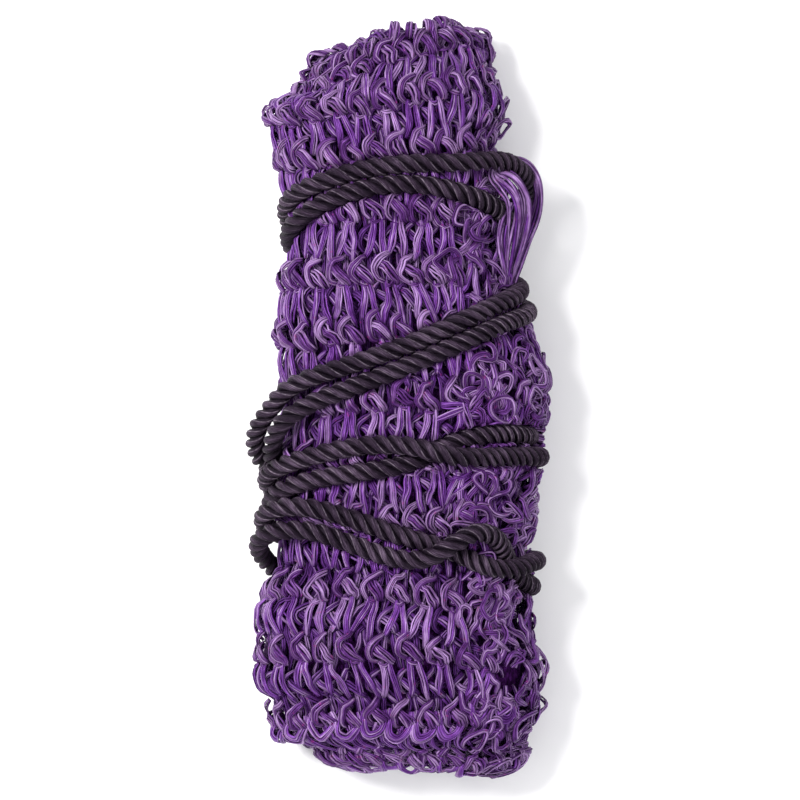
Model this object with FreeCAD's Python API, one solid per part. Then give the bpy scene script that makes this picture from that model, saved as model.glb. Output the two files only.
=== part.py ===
"""Hay net rolled up for storage and bound with its own doubled drawcord.

The roll lies on its flat side. X runs across the roll, Y along it towards the mouth end,
Z up. The origin is at the bottom centre of the whole part. All sizes are in millimetres.
"""
import FreeCAD
import Part
import math
import os

V = FreeCAD.Vector

# ---- driving dimensions ----
CORD_DIAMETER = 8.4
GATHER_DIAMETER = 6.0      # the mouth meshes gathered into one soft strand
CLEARANCE = 0.3            # between soft pieces that lie against each other
OUTER_THICKNESS = 9.0      # one folded leaf of knotted netting
MIDDLE_THICKNESS = 9.0
ARC_SHARE = 0.45           # share of a run that each of its two arcs may use
LEAST_SCALE = 0.25         # a section drawn in is never smaller than this share of itself
THROUGH = 6.0              # a hollow that runs out of both ends is this much longer
BLOCK = 400.0              # larger than the part, for the blocks that trim it
HEAL_PRECISION = 0.0001    # of a shape's edges and faces, where a cut leaves a loose seam
HEAL_LIMIT = 0.001
LEAST_SOLID = 2000.0       # mm3: slivers of net cut free between two strands are dropped

# The roll, as stations along Y: (y, left x, right x, height).
STATIONS = [
    (-164, 4, 46, 26),
    (-157, -34, 54, 40),
    (-146, -56, 58, 51),
    (-125, -62, 63, 58),
    (-95, -62, 60, 60),
    (-76, -54, 58, 57),
    (-52, -53, 59, 57),
    (-27, -53, 60, 58),
    (5, -53, 65, 61),
    (22, -54, 60, 60),
    (45, -53, 50, 60),
    (68, -50, 46, 60),
    (95, -49, 44, 57),
    (122, -58, 46, 58),
    (139, -52, 43, 52),
    (152, -41, 40, 42),
    (161, -12, 34, 26),
]

# One cross-section in shares of the half width and of the height. The right side slopes
# away more gently than the left.
SECTION = [
    (0.00, -0.10),
    (0.55, -0.10),
    (0.86, 0.14),
    (1.00, 0.45),
    (0.84, 0.76),
    (0.45, 0.95),
    (0.00, 1.00),
    (-0.50, 0.985),
    (-0.87, 0.82),
    (-1.00, 0.48),
    (-0.86, 0.15),
    (-0.55, -0.10),
]

# Where each nested leaf of the folded net starts and ends along Y.
LEAF_ENDS = {
    "net_outer_leaf": (-158, 154),
    "net_middle_leaf": (-163, 160),
    "net_inner_leaf": (-140, 134),
}

# The bound stretch, from y to y, is drawn up off the floor by this much.
WAIST = (-133, 72.5)
WAIST_RISE = 2.8

# The drawcord is one rope. It leaves the mouth, winds round the roll four times, folds back
# in a bight under the roll and winds the same way back beside itself.
CORD_ROUTE = [
    # out of the mouth and over the first wrap
    (39, 80, 25), (48, 82, 23), (55, 86, 25), (57, 92, 31), (54, 97.5, 40.5), (48, 102.5, 48),
    (39, 103, 52), (22, 101.5, 56), (3, 101.5, 58.5), (-17, 99, 58.5), (-36, 93, 56.5),
    # left side, then under to the second wrap
    (-47, 88, 49.5), (-50.5, 82.5, 37), (-49, 76.5, 23.5), (-40, 71, 11), (-26, 67, 5),
    (-6, 62.5, 4.3), (14, 58.5, 4.3), (32, 55, 6), (45, 51.5, 13), (52.5, 48.5, 25),
    (53, 45.5, 38), (47, 42, 49),
    (34, 36, 56), (17, 28, 60), (-1, 20.5, 62), (-20, 14, 61.5), (-38, 8.5, 59.5), (-50, 3, 55),
    # down the left side, outside the other strand
    (-57, -6, 47.5), (-63.5, -15, 39), (-64, -24, 29), (-59, -31, 18.5), (-51, -34.5, 9.2),
    (-37, -38.5, 4.8), (-18, -40, 4.3), (4, -38, 4.3), (25, -34.5, 4.4), (42, -31, 8.5),
    (55, -28.5, 17), (62.5, -27, 29), (60.5, -26.5, 42), (49, -26.5, 50.5),
    # third wrap, over the crossing
    (34, -27, 55.5), (22, -26.5, 63.5), (9, -22.5, 65.5), (-4, -21, 61.5), (-20, -22, 59.5),
    (-36, -25.5, 58.5), (-50.5, -30, 53.5), (-58, -34, 43), (-59, -38.5, 31),
    (-54, -43, 18), (-44.5, -46, 8.3), (-31, -49.5, 4.4),
    (-11, -55, 4.3), (9, -60.5, 4.3), (28, -66, 4.8), (43, -70, 8.5), (55, -72.5, 17.5),
    (61, -72.5, 30), (58.5, -72.5, 44), (50, -76, 55),
    # fourth wrap, over one crossing and under the next
    (38, -75, 58), (26, -69, 53.5), (13, -64.5, 53), (-2, -60.5, 57), (-18, -54.5, 58.5),
    (-36, -49, 58), (-50, -48, 56), (-59.5, -51, 49), (-60.5, -56.5, 35.5), (-54.5, -60.5, 21.5),
    (-46, -64.5, 10), (-34, -71, 4.4),
    # the bight, flat across the underside
    (-17, -80, 4.4), (2, -86.5, 4.4), (20, -91, 4.4), (36, -97, 4.4), (43, -109, 4.4),
    (36, -121, 4.4), (21, -126, 4.4), (5, -122.5, 4.4), (-10, -114, 4.4), (-24, -104, 4.4),
    (-37, -93.5, 5),
    # back over the fourth wrap
    (-47.5, -84, 9), (-56.5, -76, 17.5), (-62, -69, 30), (-62.5, -63, 43.5), (-54, -58.5, 53),
    (-38, -58.5, 57), (-20, -65, 58), (-2, -71.5, 58), (12, -71.5, 61.5), (23, -64.5, 64),
    (34, -58.5, 59.5), (43, -62, 51.5), (46.5, -71, 43.5), (51.5, -79.5, 38.5), (58.5, -84, 30),
    (57.5, -84, 18), (46, -82, 8.5), (29, -77.5, 4.8),
    (10, -71, 4.3), (-10, -65, 4.3), (-29, -59.5, 4.4), (-42, -56.5, 7.5), (-50, -52.5, 15.5),
    (-57, -49.5, 28.5), (-56.5, -45, 40.5), (-50.5, -40, 52),
    # third wrap, under the crossing
    (-36, -36, 57), (-18, -33.5, 58), (-1, -31, 57.5), (13, -25.5, 54.5), (26, -19, 54),
    (42, -16, 51), (55, -17, 42), (58, -18, 29.5), (53, -19.5, 18), (42, -20.5, 9.5),
    (27, -23, 6.5), (8, -29, 9), (-12, -35, 12.5), (-30, -38.5, 14), (-43, -38.5, 16.5),
    (-51.5, -34.5, 25), (-56, -28.5, 36), (-56, -20, 48), (-51.5, -11, 56),
    # second wrap
    (-40, -3.5, 60), (-22, 3.5, 61), (-3, 10.5, 62), (15, 18, 60), (32, 25.5, 57), (46, 32, 51),
    (56, 35.5, 40.5), (56.5, 38, 26.5), (47.5, 41, 13.5), (33, 45.5, 6), (14, 49, 4.3),
    (-6, 53, 4.3), (-25, 57, 5), (-38.5, 60.5, 11), (-46.5, 64, 22.5), (-49, 68.5, 35.5),
    (-48, 74, 47), (-40, 81, 55),
    # first wrap, and back into the mouth
    (-25, 88, 58), (-7, 92.5, 58.5), (12, 92.2, 57.5), (29, 88.5, 53.5), (41, 83.5, 46.5),
    (47.5, 77.5, 37), (46.5, 71, 28), (39, 66.5, 23),
]

BIGHT_MIDDLE = (36, -121, 4.4)

# The gathered mouth meshes come out of the roll, pass over the lower strand of the first
# wrap and under the upper one, and go back into the roll.
GATHER_ROUTE = [
    (34.5, 42, 40), (40.5, 48, 41.5), (44.5, 55, 42), (48.5, 65, 43), (50.5, 76, 46),
    (49, 86, 50.5), (44.5, 93.5, 49), (40.5, 99, 43.5), (43, 104.5, 40), (50, 107.5, 36),
    (58, 105, 33), (63.5, 98.5, 35.5), (64, 87.5, 41), (60.5, 76, 41), (56, 65, 40),
    (51.5, 56.5, 38), (45.5, 49.5, 36.5), (38.5, 43.5, 34.5),
]


def corner_arc(before, corner, after):
    """The arc that rounds one corner of a route, as its start, middle, end and radius."""
    back = before - corner
    ahead = after - corner
    turn = math.pi - back.getAngle(ahead)
    setback = ARC_SHARE * min(back.Length, ahead.Length)
    radius = setback / math.tan(turn / 2)
    back.normalize()
    ahead.normalize()
    start = corner + back * setback
    end = corner + ahead * setback
    bisector = back + ahead
    bisector.normalize()
    reach = radius / math.cos(turn / 2) - radius
    return start, corner + bisector * reach, end, radius


def cord_path(points):
    """Straight runs joined by tangent arcs, as one wire, with the arcs' radii."""
    corners = [V(*point) for point in points]
    edges = []
    radii = []
    at = corners[0]
    for before, corner, after in zip(corners, corners[1:], corners[2:]):
        start, middle, end, radius = corner_arc(before, corner, after)
        edges.append(Part.LineSegment(at, start).toShape())
        edges.append(Part.Arc(start, middle, end).toShape())
        radii.append(radius)
        at = end
    edges.append(Part.LineSegment(at, corners[-1]).toShape())
    return Part.Wire(edges), radii


def tube(points, radius):
    """A closed round tube along a route."""
    path, radii = cord_path(points)
    direction = V(*points[1]) - V(*points[0])
    ring = Part.Wire([Part.Circle(V(*points[0]), direction, radius).toShape()])
    solid = path.makePipeShell([ring], True, False)
    if solid.Volume < 0:
        solid.reverse()
    return solid, path, radii


def section_wire(station, inset, shift):
    """One closed cross-section of the roll, drawn in by inset, at its y plus shift."""
    y, left, right, height = station
    centre = (left + right) / 2
    half = (right - left) / 2
    middle = height / 2
    across_scale = max(1 - inset / half, LEAST_SCALE)
    up_scale = max(1 - inset / middle, LEAST_SCALE)
    points = []
    for across, up in SECTION:
        x = centre + across * half * across_scale
        z = middle + (up * height - middle) * up_scale
        points.append(V(x, y + shift, z))
    curve = Part.BSplineCurve()
    curve.interpolate(Points=points, PeriodicFlag=True)
    return Part.Wire([curve.toShape()])


def roll_solid(inset, extend=0.0):
    """The whole roll drawn in by inset, its end sections moved outward by extend."""
    wires = []
    last = len(STATIONS) - 1
    for index, station in enumerate(STATIONS):
        shift = -extend if index == 0 else extend if index == last else 0.0
        wires.append(section_wire(station, inset, shift))
    return Part.makeLoft(wires, True, False, False, 3)


def cord_spaces():
    """The room that the cord and the gathered meshes take out of the net.

    The cord's two strands lie closer together than two clearances, so each has its own tube,
    and the two tubes share the run in the middle of the bight.
    """
    fold = CORD_ROUTE.index(BIGHT_MIDDLE)
    radius = CORD_DIAMETER / 2 + CLEARANCE
    strands = [CORD_ROUTE[:fold + 2], CORD_ROUTE[fold - 1:]]
    gather_space = tube(GATHER_ROUTE, GATHER_DIAMETER / 2 + CLEARANCE)[0]
    return [gather_space] + [tube(strand, radius)[0] for strand in strands]


def slab(low, high, floor):
    """The block that a leaf is kept to: its stretch of the length, above its floor."""
    return Part.makeBox(BLOCK, high - low, BLOCK, V(-BLOCK / 2, low, floor))


def waist_block():
    """The room under the bound stretch, where the roll stands on the cord's turns."""
    low, high = WAIST
    return Part.makeBox(BLOCK, high - low, BLOCK, V(-BLOCK / 2, low, WAIST_RISE - BLOCK))


def leaf(name, inset):
    """One folded leaf, as a whole solid of its outer shape."""
    low, high = LEAF_ENDS[name]
    return roll_solid(inset).common(slab(low, high, inset))


def net_leaves():
    """The folded net as three leaves, one inside the other."""
    middle_inset = OUTER_THICKNESS + CLEARANCE
    inner_inset = middle_inset + MIDDLE_THICKNESS + CLEARANCE
    low, high = LEAF_ENDS["net_inner_leaf"]
    through = roll_solid(OUTER_THICKNESS, THROUGH)
    through = through.common(slab(-BLOCK, BLOCK, OUTER_THICKNESS))
    pocket_inset = inner_inset - CLEARANCE
    pocket = roll_solid(pocket_inset)
    pocket = pocket.common(slab(low - CLEARANCE, high + CLEARANCE, pocket_inset))
    return {
        "net_outer_leaf": leaf("net_outer_leaf", 0.0).cut(waist_block()).cut(through),
        "net_middle_leaf": leaf("net_middle_leaf", middle_inset).cut(pocket),
        "net_inner_leaf": leaf("net_inner_leaf", inner_inset),
    }


def cut_spaces(solid, spaces):
    """Cut each space out of one leaf, healing a seam that a cut leaves loose."""
    for space in spaces:
        solid = solid.cut(space)
        if not solid.isValid():
            solid.fix(HEAL_PRECISION, HEAL_PRECISION, HEAL_LIMIT)
    return solid


def export(name, shape):
    """Check one node, print what it is and write its STEP file."""
    solids = [solid for solid in shape.Solids if solid.Volume > LEAST_SOLID]
    assert solids, name + " has no solid"
    assert shape.isValid(), name + " is not valid"
    shape = solids[0] if len(solids) == 1 else Part.makeCompound(solids)
    box = shape.BoundBox
    print(
        f"{name}: {len(solids)} solid(s), volume {shape.Volume / 1000:.1f} cm3, "
        f"x {box.XMin:.1f}..{box.XMax:.1f} y {box.YMin:.1f}..{box.YMax:.1f} "
        f"z {box.ZMin:.1f}..{box.ZMax:.1f}"
    )
    shape.exportStep(f"parts/{name}.step")


def report_tube(name, solid, path, radii, diameter):
    """Print a tube's length and radii, and compare its volume with section times length."""
    expected = math.pi * diameter ** 2 / 4 * path.Length
    print(
        f"{name}: length {path.Length:.0f} mm, volume {solid.Volume / expected:.4f} of section "
        f"x length, smallest radius {min(radii):.1f}"
    )
    print("radii: " + " ".join(f"{radius:.0f}" for radius in radii))


def main():
    os.makedirs("parts", exist_ok=True)
    cord, cord_line, cord_radii = tube(CORD_ROUTE, CORD_DIAMETER / 2)
    gather, gather_line, gather_radii = tube(GATHER_ROUTE, GATHER_DIAMETER / 2)
    report_tube("drawcord", cord, cord_line, cord_radii, CORD_DIAMETER)
    report_tube("mouth_gather", gather, gather_line, gather_radii, GATHER_DIAMETER)
    spaces = cord_spaces()
    for name, solid in net_leaves().items():
        export(name, cut_spaces(solid, spaces))
    export("drawcord", cord)
    export("mouth_gather", gather)


main()
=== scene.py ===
"""Hay net rolled up and bound with its own drawcord: the visual model, in metres.

The roll lies on its flat side, with Y along it towards the mouth end and Z up. The camera
and the cord come first, then the net is knotted row by row on the outline of the CAD net.
"""
import math
from collections import namedtuple

import bpy
import numpy as np
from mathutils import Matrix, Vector
from mathutils.bvhtree import BVHTree
from mathutils.kdtree import KDTree


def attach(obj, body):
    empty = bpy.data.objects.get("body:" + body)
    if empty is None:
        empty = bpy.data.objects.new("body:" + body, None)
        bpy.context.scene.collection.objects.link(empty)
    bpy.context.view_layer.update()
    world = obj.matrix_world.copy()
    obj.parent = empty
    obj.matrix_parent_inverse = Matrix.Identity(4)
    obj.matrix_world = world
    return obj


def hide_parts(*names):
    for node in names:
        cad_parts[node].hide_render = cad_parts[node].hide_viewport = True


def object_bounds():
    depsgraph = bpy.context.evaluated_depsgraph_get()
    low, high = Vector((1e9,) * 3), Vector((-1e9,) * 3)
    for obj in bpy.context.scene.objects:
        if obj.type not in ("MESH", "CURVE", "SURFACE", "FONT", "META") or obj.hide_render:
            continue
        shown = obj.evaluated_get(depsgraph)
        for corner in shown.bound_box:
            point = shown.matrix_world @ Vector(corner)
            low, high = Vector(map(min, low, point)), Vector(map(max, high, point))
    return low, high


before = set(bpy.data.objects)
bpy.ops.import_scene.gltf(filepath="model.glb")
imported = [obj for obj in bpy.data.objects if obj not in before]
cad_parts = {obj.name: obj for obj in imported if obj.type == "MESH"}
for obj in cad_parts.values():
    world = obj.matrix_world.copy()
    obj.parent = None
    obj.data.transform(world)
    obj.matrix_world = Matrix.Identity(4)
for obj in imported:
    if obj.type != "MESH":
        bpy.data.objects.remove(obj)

CAD_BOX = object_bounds()
BODY = "root"
MM = 0.001
RANDOM = np.random.default_rng(7)

# ---- camera ----
VIEW_WIDTH = 0.352          # metres across the frame at the roll's middle height
VIEW_CENTRE = (0.0, -0.0018)
CAMERA_DISTANCE = 2.5
SENSOR = 36.0

# ---- cord ----
CORD_DIAMETER = 0.0084
STRANDS = 3
STRAND_OFFSET = 0.00230     # from the cord's centreline to each strand's
STRAND_RADIAL = 0.00210     # the strand's half sizes, away from the cord's centre and around it
STRAND_AROUND = 0.00235
STRAND_SIDES = 14
LOOSE_PITCH = 0.0185        # length of one full turn of a strand
TIGHT_PITCH = 0.0105        # where the cord is bent round the right side of the roll
TIGHT_FROM = 0.022
TIGHT_TO = 0.046
SPLINE_STEPS = 12
CORD_CLEARANCE = 0.00035    # between the cord and the net that's moved off it

CORD_ROUTE = [
    # out of the mouth and over the first wrap
    (0.039, 0.08, 0.025), (0.048, 0.082, 0.023), (0.055, 0.086, 0.025),
    (0.057, 0.092, 0.031), (0.054, 0.0975, 0.0405), (0.048, 0.1025, 0.048),
    (0.039, 0.103, 0.052), (0.022, 0.1015, 0.056), (0.003, 0.1015, 0.0585),
    (-0.017, 0.099, 0.0585), (-0.036, 0.093, 0.0565),
    # left side, then under to the second wrap
    (-0.047, 0.088, 0.0495), (-0.0505, 0.0825, 0.037), (-0.049, 0.0765, 0.0235),
    (-0.04, 0.071, 0.011), (-0.026, 0.067, 0.005),
    (-0.006, 0.0625, 0.0043), (0.014, 0.0585, 0.0043), (0.032, 0.055, 0.006),
    (0.045, 0.0515, 0.013), (0.0525, 0.0485, 0.025),
    (0.053, 0.0455, 0.038), (0.047, 0.042, 0.049),
    (0.034, 0.036, 0.056), (0.017, 0.028, 0.06), (-0.001, 0.0205, 0.062),
    (-0.02, 0.014, 0.0615), (-0.038, 0.0085, 0.0595), (-0.05, 0.003, 0.055),
    # down the left side, outside the other strand
    (-0.057, -0.006, 0.0475), (-0.0635, -0.015, 0.039), (-0.064, -0.024, 0.029),
    (-0.059, -0.031, 0.0185), (-0.051, -0.0345, 0.0092),
    (-0.037, -0.0385, 0.0048), (-0.018, -0.04, 0.0043), (0.004, -0.038, 0.0043),
    (0.025, -0.0345, 0.0044), (0.042, -0.031, 0.0085),
    (0.055, -0.0285, 0.017), (0.0625, -0.027, 0.029), (0.0605, -0.0265, 0.042),
    (0.049, -0.0265, 0.0505),
    # third wrap, over the crossing
    (0.034, -0.027, 0.0555), (0.022, -0.0265, 0.0635), (0.009, -0.0225, 0.0655),
    (-0.004, -0.021, 0.0615), (-0.02, -0.022, 0.0595),
    (-0.036, -0.0255, 0.0585), (-0.0505, -0.03, 0.0535),
    (-0.058, -0.034, 0.043), (-0.059, -0.0385, 0.031),
    (-0.054, -0.043, 0.018), (-0.0445, -0.046, 0.0083), (-0.031, -0.0495, 0.0044),
    (-0.011, -0.055, 0.0043), (0.009, -0.0605, 0.0043), (0.028, -0.066, 0.0048),
    (0.043, -0.07, 0.0085), (0.055, -0.0725, 0.0175),
    (0.061, -0.0725, 0.03), (0.0585, -0.0725, 0.044), (0.05, -0.076, 0.055),
    # fourth wrap, over one crossing and under the next
    (0.038, -0.075, 0.058), (0.026, -0.069, 0.0535), (0.013, -0.0645, 0.053),
    (-0.002, -0.0605, 0.057), (-0.018, -0.0545, 0.0585),
    (-0.036, -0.049, 0.058), (-0.05, -0.048, 0.056), (-0.0595, -0.051, 0.049),
    (-0.0605, -0.0565, 0.0355), (-0.0545, -0.0605, 0.0215),
    (-0.046, -0.0645, 0.01), (-0.034, -0.071, 0.0044),
    # the bight, flat across the underside
    (-0.017, -0.08, 0.0044), (0.002, -0.0865, 0.0044), (0.02, -0.091, 0.0044),
    (0.036, -0.097, 0.0044), (0.043, -0.109, 0.0044),
    (0.036, -0.121, 0.0044), (0.021, -0.126, 0.0044), (0.005, -0.1225, 0.0044),
    (-0.01, -0.114, 0.0044), (-0.024, -0.104, 0.0044),
    (-0.037, -0.0935, 0.005),
    # back over the fourth wrap
    (-0.0475, -0.084, 0.009), (-0.0565, -0.076, 0.0175), (-0.062, -0.069, 0.03),
    (-0.0625, -0.063, 0.0435), (-0.054, -0.0585, 0.053),
    (-0.038, -0.0585, 0.057), (-0.02, -0.065, 0.058), (-0.002, -0.0715, 0.058),
    (0.012, -0.0715, 0.0615), (0.023, -0.0645, 0.064),
    (0.034, -0.0585, 0.0595), (0.043, -0.062, 0.0515), (0.0465, -0.071, 0.0435),
    (0.0515, -0.0795, 0.0385), (0.0585, -0.084, 0.03),
    (0.0575, -0.084, 0.018), (0.046, -0.082, 0.0085), (0.029, -0.0775, 0.0048),
    (0.01, -0.071, 0.0043), (-0.01, -0.065, 0.0043), (-0.029, -0.0595, 0.0044),
    (-0.042, -0.0565, 0.0075), (-0.05, -0.0525, 0.0155),
    (-0.057, -0.0495, 0.0285), (-0.0565, -0.045, 0.0405), (-0.0505, -0.04, 0.052),
    # third wrap, under the crossing
    (-0.036, -0.036, 0.057), (-0.018, -0.0335, 0.058), (-0.001, -0.031, 0.0575),
    (0.013, -0.0255, 0.0545), (0.026, -0.019, 0.054),
    (0.042, -0.016, 0.051), (0.055, -0.017, 0.042), (0.058, -0.018, 0.0295),
    (0.053, -0.0195, 0.018), (0.042, -0.0205, 0.0095),
    (0.027, -0.023, 0.0065), (0.008, -0.029, 0.009), (-0.012, -0.035, 0.0125),
    (-0.03, -0.0385, 0.014), (-0.043, -0.0385, 0.0165),
    (-0.0515, -0.0345, 0.025), (-0.056, -0.0285, 0.036), (-0.056, -0.02, 0.048),
    (-0.0515, -0.011, 0.056),
    # second wrap
    (-0.04, -0.0035, 0.06), (-0.022, 0.0035, 0.061), (-0.003, 0.0105, 0.062),
    (0.015, 0.018, 0.06), (0.032, 0.0255, 0.057), (0.046, 0.032, 0.051),
    (0.056, 0.0355, 0.0405), (0.0565, 0.038, 0.0265), (0.0475, 0.041, 0.0135),
    (0.033, 0.0455, 0.006), (0.014, 0.049, 0.0043),
    (-0.006, 0.053, 0.0043), (-0.025, 0.057, 0.005), (-0.0385, 0.0605, 0.011),
    (-0.0465, 0.064, 0.0225), (-0.049, 0.0685, 0.0355),
    (-0.048, 0.074, 0.047), (-0.04, 0.081, 0.055),
    # first wrap, and back into the mouth
    (-0.025, 0.088, 0.058), (-0.007, 0.0925, 0.0585), (0.012, 0.0922, 0.0575),
    (0.029, 0.0885, 0.0535), (0.041, 0.0835, 0.0465),
    (0.0475, 0.0775, 0.037), (0.0465, 0.071, 0.028), (0.039, 0.0665, 0.023),
]

# The loop of gathered mouth meshes: up its left leg, over the cord's end and down its right leg.
GATHER_ROUTE = [
    (0.0465, 0.042, 0.035), (0.0475, 0.050, 0.0385), (0.0490, 0.060, 0.042),
    (0.0505, 0.070, 0.0445), (0.0522, 0.079, 0.0485), (0.0515, 0.087, 0.0515),
    (0.047, 0.0935, 0.0515), (0.0415, 0.097, 0.046), (0.043, 0.101, 0.041),
    (0.049, 0.1035, 0.0375), (0.0555, 0.1025, 0.0355), (0.060, 0.0965, 0.037),
    (0.0615, 0.088, 0.041), (0.0595, 0.0785, 0.042), (0.0550, 0.068, 0.041),
    (0.0515, 0.058, 0.0385), (0.0490, 0.050, 0.0365), (0.0480, 0.042, 0.0335),
]
# A few more twines of the mouth, beside the left leg.
MOUTH_ROUTE = [
    (0.0485, 0.0850, 0.0405), (0.0462, 0.0800, 0.0440), (0.0447, 0.0740, 0.0455),
    (0.0445, 0.0670, 0.0445), (0.0455, 0.0590, 0.0420), (0.0475, 0.0500, 0.0385),
    (0.0485, 0.0430, 0.0350),
]


# ---- camera and cord ----

def add_camera():
    data = bpy.data.cameras.new("camera")
    data.sensor_width = SENSOR
    data.lens = SENSOR * CAMERA_DISTANCE / VIEW_WIDTH
    camera = bpy.data.objects.new("camera", data)
    middle = (CAD_BOX[0][2] + CAD_BOX[1][2]) / 2
    camera.location = (*VIEW_CENTRE, middle + CAMERA_DISTANCE)
    bpy.context.collection.objects.link(camera)
    bpy.context.scene.camera = camera


def spline_points(name, route):
    """Points along the smooth spline that has the route as its control points."""
    curve = bpy.data.curves.new(name, "CURVE")
    curve.dimensions = "3D"
    curve.resolution_u = SPLINE_STEPS
    spline = curve.splines.new("NURBS")
    spline.points.add(len(route) - 1)
    for point, place in zip(spline.points, route):
        point.co = (*place, 1.0)
    spline.order_u = 3
    spline.use_endpoint_u = True
    holder = bpy.data.objects.new(name, curve)
    mesh = bpy.data.meshes.new_from_object(holder)
    points = np.array([vertex.co for vertex in mesh.vertices])
    bpy.data.objects.remove(holder)
    bpy.data.meshes.remove(mesh)
    bpy.data.curves.remove(curve)
    return points


def unit(vectors):
    length = np.linalg.norm(vectors, axis=-1, keepdims=True)
    return vectors / np.maximum(length, 1e-12)


def distance_along(points):
    steps = np.linalg.norm(np.diff(points, axis=0), axis=1)
    return np.concatenate([[0.0], np.cumsum(steps)])


def untwisted_axes(points):
    """For each point of a line, its direction and two axes across it that don't twist."""
    along = unit(np.gradient(points, axis=0))
    across = np.zeros_like(along)
    first = np.cross(along[0], (0.0, 0.0, 1.0))
    for i, direction in enumerate(along):
        first = first - direction * np.dot(first, direction)
        first = first / np.linalg.norm(first)
        across[i] = first
    return along, across, np.cross(along, across)


def ease(value, low, high):
    """0 below low, 1 above high and a smooth step between them."""
    share = np.clip((value - low) / (high - low), 0.0, 1.0)
    return share * share * (3.0 - 2.0 * share)


# ---- meshes made of many closed tubes ----

def tube_mesh(name, bundles, material):
    """One mesh object of closed tubes.

    bundles is a list of (sections, marks): sections has each tube's rings of points, as
    tubes x rings x sides x 3, and marks each ring's distance along its tube in metres.
    The map "lay" holds the way round each tube, plus its number, and the way along it.
    """
    places, corners, sizes, ways = [], [], [], []
    start, number = 0, 0
    for sections, marks in bundles:
        tubes, rings, sides, _ = sections.shape
        places.append(sections.reshape(-1, 3))
        tube, ring, side, corner = np.ogrid[:tubes, :rings - 1, :sides, :4]
        end_tube, end_side = np.ogrid[:tubes, :sides]
        # the faces round each tube, then the ones that close its start and its end
        for which, along, around in (
            (tube, ring + (corner > 1), side + (corner % 3 > 0)),
            (end_tube, 0, end_side[:, ::-1]),
            (end_tube, rings - 1, end_side),
        ):
            index = start + (which * rings + along) * sides + around % sides
            corners.append(index.ravel())
            sizes.append(np.full(index.size // index.shape[-1], index.shape[-1]))
            way = np.broadcast_arrays(number + which + around / sides, marks[which, along])
            ways.append(np.stack(way, axis=-1).reshape(-1, 2))
        start += tubes * rings * sides
        number += tubes
    return mesh_piece(name, np.concatenate(places), np.concatenate(corners),
                      np.concatenate(sizes), np.concatenate(ways), material)


def mesh_piece(name, places, corners, sizes, ways, material):
    mesh = bpy.data.meshes.new(name)
    mesh.vertices.add(len(places))
    mesh.vertices.foreach_set("co", places.astype(np.float32).ravel())
    mesh.loops.add(len(corners))
    mesh.loops.foreach_set("vertex_index", corners.astype(np.int32))
    mesh.polygons.add(len(sizes))
    starts = np.concatenate([[0], np.cumsum(sizes)[:-1]])
    mesh.polygons.foreach_set("loop_start", starts.astype(np.int32))
    layer = mesh.uv_layers.new(name="lay")
    layer.data.foreach_set("uv", ways.astype(np.float32).ravel())
    mesh.update(calc_edges=True)
    mesh.validate()
    mesh.shade_smooth()
    mesh.materials.append(material)
    piece = bpy.data.objects.new(name, mesh)
    bpy.context.collection.objects.link(piece)
    return piece


def twisted_strands(points):
    """The rings of the cord's strands, twisted right-handed about its centreline."""
    along, across, upward = untwisted_axes(points)
    gone = distance_along(points)
    tight = ease(points[:, 0], TIGHT_FROM, TIGHT_TO)
    pitch = LOOSE_PITCH + (TIGHT_PITCH - LOOSE_PITCH) * tight
    turn = np.concatenate([[0.0], np.cumsum(2 * math.pi * np.diff(gone) / pitch[1:])])
    angle = turn + 2 * math.pi * np.arange(STRANDS)[:, None] / STRANDS
    out = np.cos(angle)[..., None] * across + np.sin(angle)[..., None] * upward
    side = np.cross(along, out)
    way = 2 * math.pi * np.arange(STRAND_SIDES)[:, None] / STRAND_SIDES
    radial = STRAND_OFFSET + STRAND_RADIAL * np.cos(way)
    around = STRAND_AROUND * np.sin(way)
    sections = points[:, None] + radial * out[:, :, None] + around * side[:, :, None]
    return sections, np.broadcast_to(gone, (STRANDS, len(gone)))


# ---- materials ----

# Shades of the twine, from painted shadow to painted lavender highlights: the level of each, then
# its colour.
VIOLET = ((0.20, 34, 3, 52), (0.42, 80, 36, 108), (0.60, 127, 78, 163), (0.80, 223, 172, 255))
MAUVE = ((0.20, 30, 4, 40), (0.42, 68, 31, 88), (0.60, 105, 66, 129), (0.80, 193, 147, 226))
# the next ramp is a painted grey sheen: paler, greyer shades for some ribbons at random
GREY_SHEEN = ((0.20, 36, 13, 42), (0.46, 78, 53, 83), (0.80, 152, 128, 162))
# the next ramp is painted shade: a darker copy of the violet, for the bunched edge and the ends of
# the roll
SHADED = ((0.20, 28, 2, 40), (0.45, 67, 30, 86), (0.62, 112, 69, 141), (0.80, 217, 164, 252))
# the next ramp is painted shade: darker still, for the layers deep in the roll
INNER = ((0.20, 20, 2, 32), (0.45, 54, 20, 76), (0.78, 116, 70, 154))


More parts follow.
